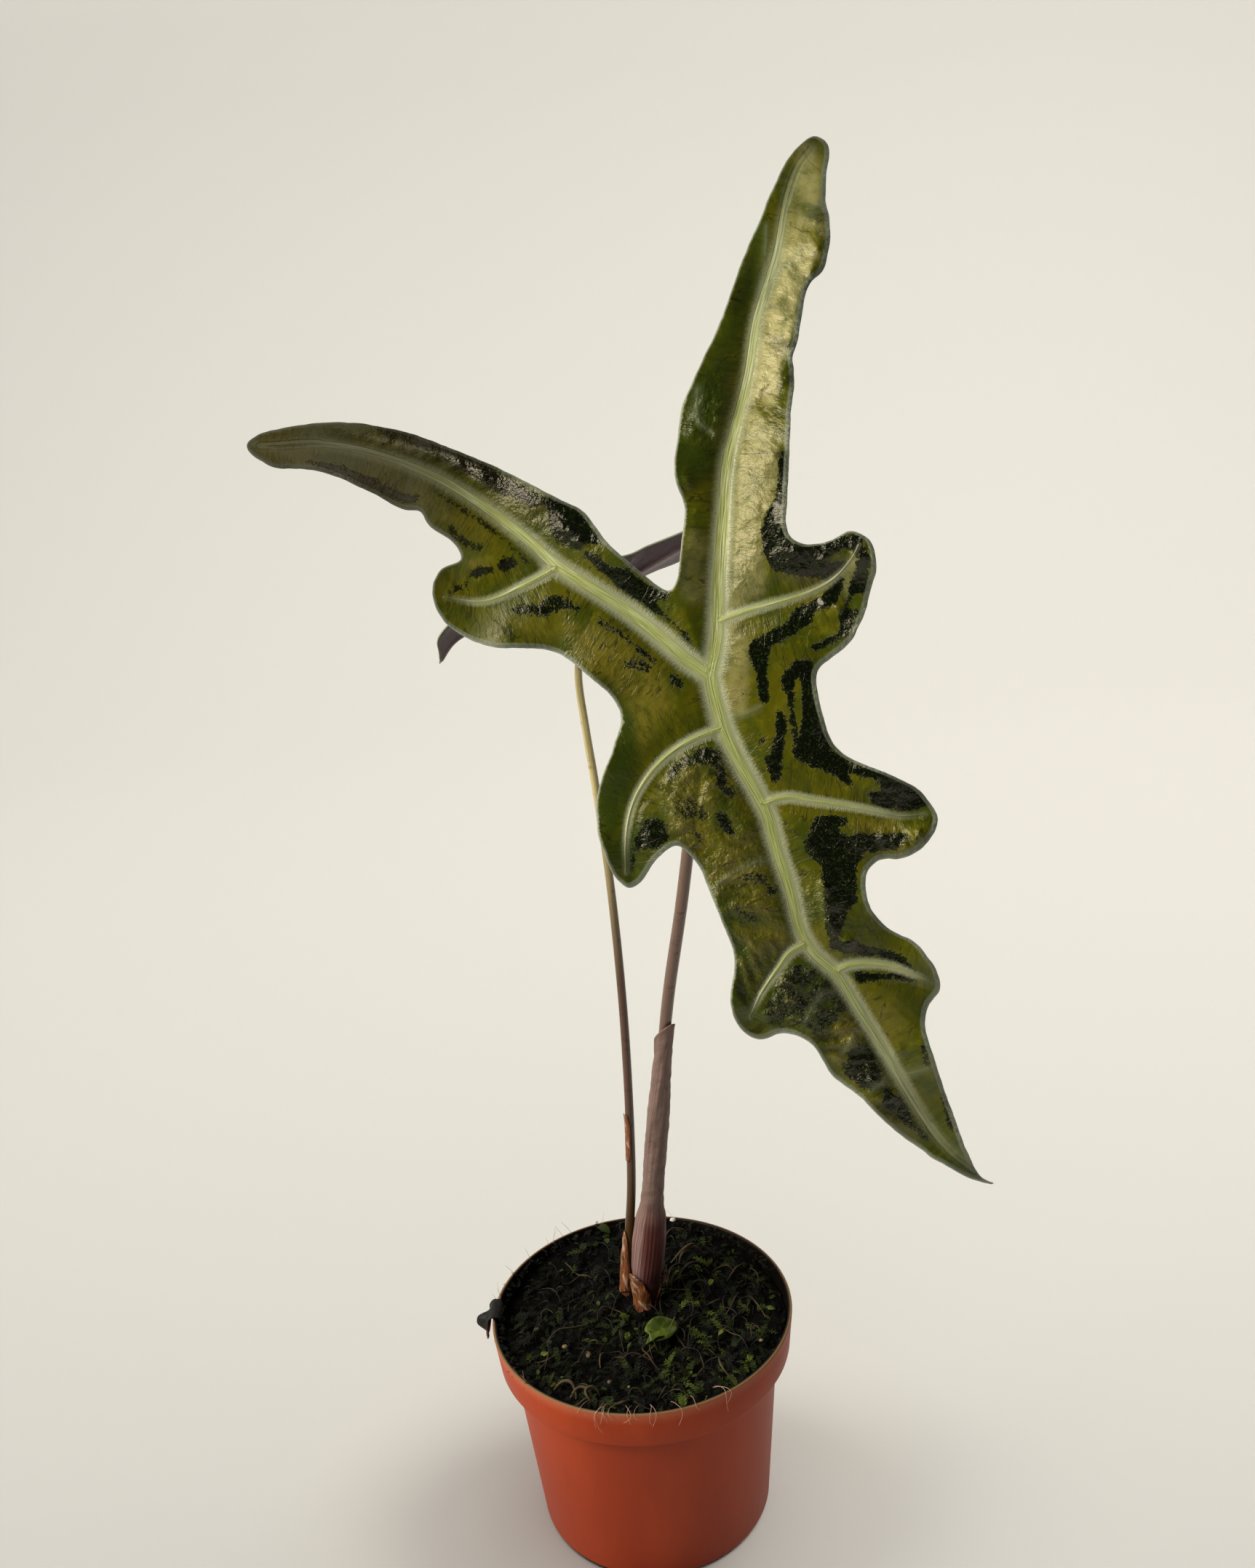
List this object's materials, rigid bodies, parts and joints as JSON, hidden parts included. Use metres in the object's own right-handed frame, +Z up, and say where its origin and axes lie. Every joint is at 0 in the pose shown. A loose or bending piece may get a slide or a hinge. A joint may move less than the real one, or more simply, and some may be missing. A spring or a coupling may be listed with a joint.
{
  "type": "potted alocasia plant",
  "caption": "Young potted alocasia: a large glossy lobed arrow-shaped leaf and a small leaf on slender stalks, in mossy soil in a round terracotta-coloured nursery pot",
  "frame": {"origin": "middle of the pot's flat underside, where it rests on a surface", "axes": "+Z up the plant, which is its longest extent; -Y towards the side that the large leaf faces; +X to the right as seen from there"},
  "size_m": [0.1738, 0.1342, 0.3932],
  "materials": {
    "pot_plastic": "satin",
    "potting_soil": "matte",
    "stalk": "satin",
    "dry_sheath": "matte",
    "leaf_blade": "gloss",
    "leaf_underside": "satin",
    "papery_scale": "matte",
    "seedling": "satin",
    "withered_leaf": "matte"
  },
  "bodies": {
    "root": {"pot": "pot_plastic", "soil": "potting_soil", "front_stalk": "stalk", "front_sheath": "dry_sheath", "front_leaf": "leaf_blade", "rear_stalk": "stalk", "rear_leaf": "leaf_underside", "front_scale": "papery_scale", "side_scale": "papery_scale", "rear_scale": "papery_scale", "seedling": "seedling", "withered_scrap": "withered_leaf"}
  },
  "joints": []
}
